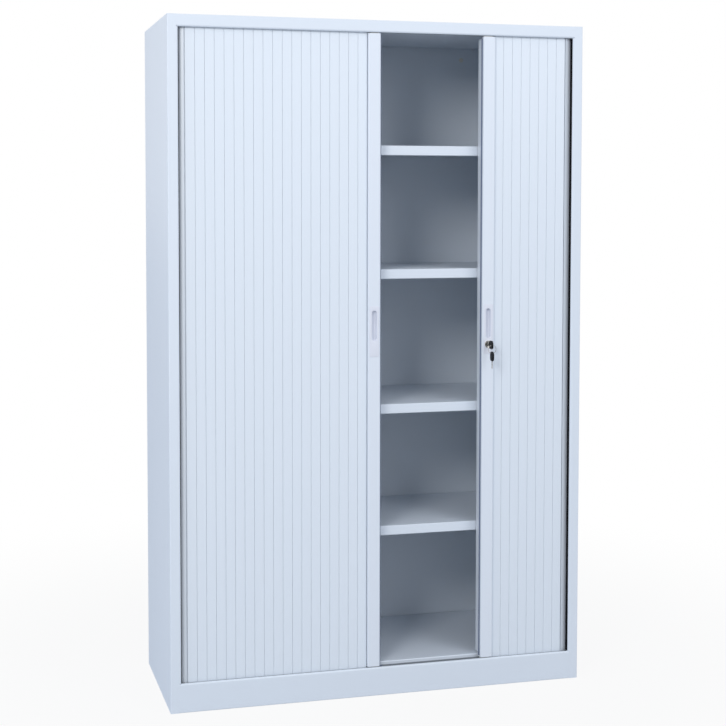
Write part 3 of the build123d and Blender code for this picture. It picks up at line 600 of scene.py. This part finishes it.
# %% Milled blades
CUT_PITCH = 2.5 * MM
CUT_FLAT = 0.6 * MM
CUT_SLOPE = 0.8
CUT_DEPTHS = [0.9 * MM, 0.4 * MM, 1.3 * MM, 0.7 * MM, 1.1 * MM]
FIRST_CUT = 9.0 * MM
GROOVE_BAND = (-0.9 * MM, 0.3 * MM)
GROOVE_DEPTH = 0.3 * MM
FACING_UP = 0.9
BLADE_ANGLE = 25.0


def cut_edge(length, half, side):
    """One edge of the blade from its shoulder to its tip, with a flat-bottomed V at each cut."""
    points = [(-length / 2, side * half)]
    for number, depth in enumerate(CUT_DEPTHS):
        x = -length / 2 + FIRST_CUT + CUT_PITCH * number
        wide = CUT_FLAT / 2 + depth * CUT_SLOPE
        points += [(x - wide, side * half), (x - CUT_FLAT / 2, side * (half - depth))]
        points += [(x + CUT_FLAT / 2, side * (half - depth)), (x + wide, side * half)]
    return [(x, y) for x, y in points if x < length / 2 - half] + [(length / 2 - half, side * half)]


def blade(name, node, body, place):
    """A blade drawn flat, its tip towards +X."""
    low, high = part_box(node)
    thick, wide, long = sorted(high - low)
    points = cut_edge(long, wide / 2, -1) + [(long / 2, 0.0)] + cut_edge(long, wide / 2, 1)[::-1]
    bm = pulled_section(points, -thick / 2, thick / 2)
    for height in GROOVE_BAND:
        everything = bm.verts[:] + bm.edges[:] + bm.faces[:]
        bmesh.ops.bisect_plane(bm, geom=everything, plane_co=(0, height, 0), plane_no=(0, 1, 0))
    bm.normal_update()
    for sign in (1, -1):
        band = [
            face
            for face in bm.faces
            if abs(face.normal.z) > FACING_UP
            and face.calc_center_median().z * sign > 0
            and GROOVE_BAND[0] < face.calc_center_median().y < GROOVE_BAND[1]
        ]
        pushed = bmesh.ops.extrude_face_region(bm, geom=band)["geom"]
        bmesh.ops.translate(bm, verts=verts_of(pushed), vec=(0, 0, -sign * GROOVE_DEPTH))
        bmesh.ops.delete(bm, geom=band, context="FACES_ONLY")
    piece = new_piece(name, bm, place, KEY_STEEL, BLADE_ANGLE)
    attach(piece, body)
    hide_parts(node)


for key_name, key_body, stance in KEYS:
    blade_place = Matrix.Translation(middle_of(f"{key_name}_blade")) @ stance
    blade(f"{key_name}_blade_milled", f"{key_name}_blade", key_body, blade_place)

# %% [markdown]
# ## The ring
# A split ring is two turns of spring wire, side by side.  Spinning a small circle with a drift
# along the axis winds it: two full turns in angle, one wire thickness in drift.

# %% Split ring
WIRE_R = 0.55 * MM
WIRE_SIDES = 10
WIRE_ANGLE = 50.0
RING_TURNS = 2
RING_STEPS = 96

ring_low, ring_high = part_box("key_ring")
ring_radius = (ring_high.z - ring_low.z) / 2 - WIRE_R
bm = bmesh.new()
wire = bmesh.ops.create_circle(
    bm, radius=WIRE_R, segments=WIRE_SIDES, cap_ends=True, matrix=Matrix.Rotation(pi / 2, 4, "X")
)["verts"]
bmesh.ops.translate(bm, verts=wire, vec=(ring_radius, 0, -WIRE_R))
bmesh.ops.spin(
    bm,
    geom=bm.verts[:] + bm.edges[:] + bm.faces[:],
    cent=(0, 0, 0),
    axis=(0, 0, 1),
    dvec=(0, 0, 2 * WIRE_R / RING_STEPS),
    angle=2 * pi * RING_TURNS,
    steps=RING_STEPS,
)
ring_place = Matrix.Translation(middle_of("key_ring")) @ FRONTWARDS
split_ring = new_piece("split_ring", bm, ring_place, KEY_STEEL, WIRE_ANGLE)
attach(split_ring, "key_ring")
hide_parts("key_ring")

# %% [markdown]
# ## Anchor plugs
# The back sheet has two holes for wall anchors.  Until they are used each holds a moulded plug: a
# low domed head on the inside and a stub through the sheet.  It is one more shape for the lathe.

# %% Anchor plugs
ANCHOR_X = 400.0 * MM
ANCHOR_Z = 1870.0 * MM
HEAD_R = 7.0 * MM
HEAD_RISE = 1.8 * MM
HEAD_STEPS = 6
STUB_R = 3.9 * MM
STUB_LENGTH = 0.9 * MM
back_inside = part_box("back_panel")[0].y
dome = [(HEAD_R * cos(turn), HEAD_RISE * sin(turn)) for turn in arc_steps(HEAD_STEPS)]
plug_section = [(STUB_R, 0.0), *dome, (0.0, -STUB_LENGTH), (STUB_R, -STUB_LENGTH)]
for number, x in enumerate((-ANCHOR_X, ANCHOR_X), start=1):
    plug_place = Matrix.Translation((x, back_inside, ANCHOR_Z)) @ FRONTWARDS
    plug = turned(f"anchor_plug_{number}", plug_section, plug_place, NYLON)
    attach(plug, "carcass")

# %% [markdown]
# ## Edge seals
# The closing edge of each door carries a two-part extrusion: a pale stiff foot that is glued to the
# bar, and a soft dark lip along its middle.  Its section is one closed outline, pulled up to the
# seal's length, and the faces of the lip take the second material.

# %% Edge seals
FOOT_THICK = 1.1 * MM
FOOT_SIDE = 0.66 * MM
FOOT_SLOPE = 0.5 * MM
LIP_HALF = 1.9 * MM
LIP_ROUND = 1.2 * MM
LIP_STEPS = 3
LIP_STARTS = 1.01 * FOOT_THICK
LEANS_MOST = 0.5


def seal_strip(side, outwards):
    """A seal whose lip points along outwards, +1 or -1 in X."""
    low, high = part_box(f"{side}_edge_seal")
    thick = high.x - low.x
    half = (high.y - low.y) / 2
    crown = [
        (thick - LIP_ROUND * (1 - sin(turn)), LIP_HALF - LIP_ROUND * (1 - cos(turn)))
        for turn in arc_steps(LIP_STEPS)
    ]
    right_side = [(0.0, half), (FOOT_SIDE, half), (FOOT_THICK, half - FOOT_SLOPE)]
    right_side += [(FOOT_THICK, LIP_HALF), *crown]
    both_sides = right_side + [(x, -y) for x, y in right_side[::-1]]
    root = low.x if outwards > 0 else high.x
    middle = (low.y + high.y) / 2
    bm = pulled_section([(root + outwards * x, middle + y) for x, y in both_sides], low.z, high.z)
    for face in bm.faces:
        sideways = abs(face.normal.z) < LEANS_MOST
        reach = abs(face.calc_center_median().x - root)
        face.material_index = int(sideways and reach > LIP_STARTS)
    seal = new_piece(f"{side}_seal_strip", bm, Matrix.Identity(4), SEAL_FOOT)
    seal.data.materials.append(RUBBER)
    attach(seal, f"{side}_door")
    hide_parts(f"{side}_edge_seal")


for side, outwards in (("left", 1), ("right", -1)):
    seal_strip(side, outwards)

# %% [markdown]
# ## Strips of painted shade
# A rolling curtain leaves a gap where it turns in behind the stile, and that gap lies in deep shade.
# A black strip on the stile's return paints that shade in, as a black line beside the slats, and is
# shaped like a strip of nylon pile.  Its section is a flat holder, tufts that bulge out of it, and
# tips that stop short of the curtain.  The same helper pulls it to the height of the opening.

# %% Strips of painted shade
SHADE_STRIP_SECTION = [(0.0, 0.0), (1.8, 0.0), (2.0, 4.0), (2.6, 7.0), (1.6, 12.0), (0.4, 12.0), (0.0, 9.0)]
SHADE_STRIP_SET_BACK = 4.5 * MM
SHADE_STRIP_ENDS = 1.5 * MM
stile_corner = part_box("right_side_panel")[0]
shade_strip_front = stile_corner.y + SHADE_STRIP_SET_BACK
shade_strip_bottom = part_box("plinth")[1].z + SHADE_STRIP_ENDS
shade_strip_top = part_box("top_panel")[0].z - SHADE_STRIP_ENDS
# Painted shade: one black strip behind each stile, where the gap is dark.
for side, sign in (("left", -1), ("right", 1)):
    section = [(sign * (stile_corner.x - x * MM), shade_strip_front + y * MM) for x, y in SHADE_STRIP_SECTION]
    bm = pulled_section(section, shade_strip_bottom, shade_strip_top)
    strip = new_piece(f"{side}_painted_shade_strip", bm, Matrix.Identity(4), PAINTED_SHADE_BLACK)
    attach(strip, "carcass")

# %% [markdown]
# ## The floor
# A white floor under a white world gives the plain background.  The floor glows, but only for the
# camera, so it reads as white paper and throws no light on the cabinet.  Close to the cabinet the
# glow gives way to a tenth of plain paper, which is enough to show the soft shadow at its foot.

# %% Floor
FLOOR_HALF = 60.0
GLOW_NEAR = 0.7
GLOW_FAR = 2.4
GLOW_AT_FOOT = 0.9
WHITE_STRENGTH = 1.0


def stage_floor():
    """A wide floor that is white to the camera and still takes shadows."""
    bm = bmesh.new()
    bmesh.ops.create_grid(bm, x_segments=1, y_segments=1, size=FLOOR_HALF)
    mesh = bpy.data.meshes.new("studio_floor")
    bm.to_mesh(mesh)
    bm.free()
    floor = bpy.data.objects.new("studio_floor", mesh)
    bpy.context.scene.collection.objects.link(floor)
    material = bpy.data.materials.new("white_paper_floor")
    material.use_nodes = True
    tree = material.node_tree
    tree.nodes.clear()
    paper = add_node(tree, "ShaderNodeBsdfDiffuse", {"Color": linear("#c6c8cb")})
    glow = add_node(tree, "ShaderNodeEmission", {"Strength": WHITE_STRENGTH})
    rays = add_node(tree, "ShaderNodeLightPath")
    place = add_node(tree, "ShaderNodeTexCoord").outputs["Object"]
    away = add_node(tree, "ShaderNodeVectorMath", {"operation": "LENGTH"}, {0: place})
    fade_settings = {"From Min": GLOW_NEAR, "From Max": GLOW_FAR, "To Min": GLOW_AT_FOOT}
    fade = add_node(
        tree,
        "ShaderNodeMapRange",
        {"interpolation_type": "SMOOTHSTEP", **fade_settings},
        {"Value": away.outputs["Value"]},
    )
    seen = add_node(
        tree,
        "ShaderNodeMath",
        {"operation": "MULTIPLY"},
        {0: rays.outputs["Is Camera Ray"], 1: fade.outputs["Result"]},
    )
    both = add_node(
        tree,
        "ShaderNodeMixShader",
        links={0: seen.outputs[0], 1: paper.outputs[0], 2: glow.outputs[0]},
    )
    add_node(tree, "ShaderNodeOutputMaterial", links={"Surface": both.outputs[0]})
    mesh.materials.append(material)


stage_floor()
print("floor", 2 * FLOOR_HALF, "m wide")

# %% [markdown]
# ## The world
# The sky does two jobs.  For light it is even and slightly cool, and a little weaker than white,
# because the lamps add to it.  For the camera and in reflections it is plain white.

# %% World
SKY_STRENGTH = 0.72


def studio_world():
    """An even sky for light, plain white behind the object and in its reflections."""
    world = bpy.data.worlds.new("white_studio")
    bpy.context.scene.world = world
    world.use_nodes = True
    tree = world.node_tree
    tree.nodes.clear()
    sky = add_node(tree, "ShaderNodeBackground", {"Color": linear("#f4f8ff"), "Strength": SKY_STRENGTH})
    even_white = {"Color": linear("#ffffff"), "Strength": WHITE_STRENGTH}
    white = add_node(tree, "ShaderNodeBackground", even_white)
    rays = add_node(tree, "ShaderNodeLightPath")
    plain = add_node(
        tree,
        "ShaderNodeMath",
        {"operation": "MAXIMUM"},
        {0: rays.outputs["Is Camera Ray"], 1: rays.outputs["Is Glossy Ray"]},
    )
    both = add_node(
        tree, "ShaderNodeMixShader", links={0: plain.outputs[0], 1: sky.outputs[0], 2: white.outputs[0]}
    )
    add_node(tree, "ShaderNodeOutputWorld", links={"Surface": both.outputs[0]})


studio_world()
print("sky strength", SKY_STRENGTH)

# %% [markdown]
# ## The lamps
# Three soft boxes give the cabinet its form.  The key stands at the upper left front, and its
# shadows are the ones under the fascia and beside the keys.  A broad fill on the right keeps the
# far door from falling off, and a cool one far to the left lights the side panel.

# %% Lamps
# Each row is a name, a place, the point it looks at, its width in metres, its watts and its colour.
LAMPS = [
    ("key_softbox", (-2.3, -3.2, 2.9), (0.0, 0.0, 1.5), 1.1, 53.0, "#fffdfa"),
    ("fill_softbox", (1.9, -3.3, 3.0), (0.3, 0.0, 1.6), 2.0, 37.0, "#f8faff"),
    ("side_softbox", (-4.2, -0.4, 0.8), (-0.61, 0.0, 0.7), 2.0, 28.0, "#deeaff"),
]


def softbox(name, place, target, size, watts, colour):
    """A square area lamp that looks at a target."""
    lamp = bpy.data.lights.new(name, "AREA")
    lamp.shape = "SQUARE"
    lamp.size = size
    lamp.energy = watts
    lamp.color = linear(colour)[:3]
    holder = bpy.data.objects.new(name, lamp)
    holder.location = place
    aim = Vector(target) - Vector(place)
    holder.rotation_euler = aim.to_track_quat("-Z", "Y").to_euler()
    bpy.context.scene.collection.objects.link(holder)


for lamp_row in LAMPS:
    softbox(*lamp_row)
bpy.context.scene.view_settings.view_transform = "Standard"
print("lamps", [lamp_row[0] for lamp_row in LAMPS])

# %% [markdown]
# ## Close the lesson
# The view layer is brought up to date, so that every piece stands under its body.  Dressing a
# part never changes its size.

# %% Bring the scene up to date
bpy.context.view_layer.update()
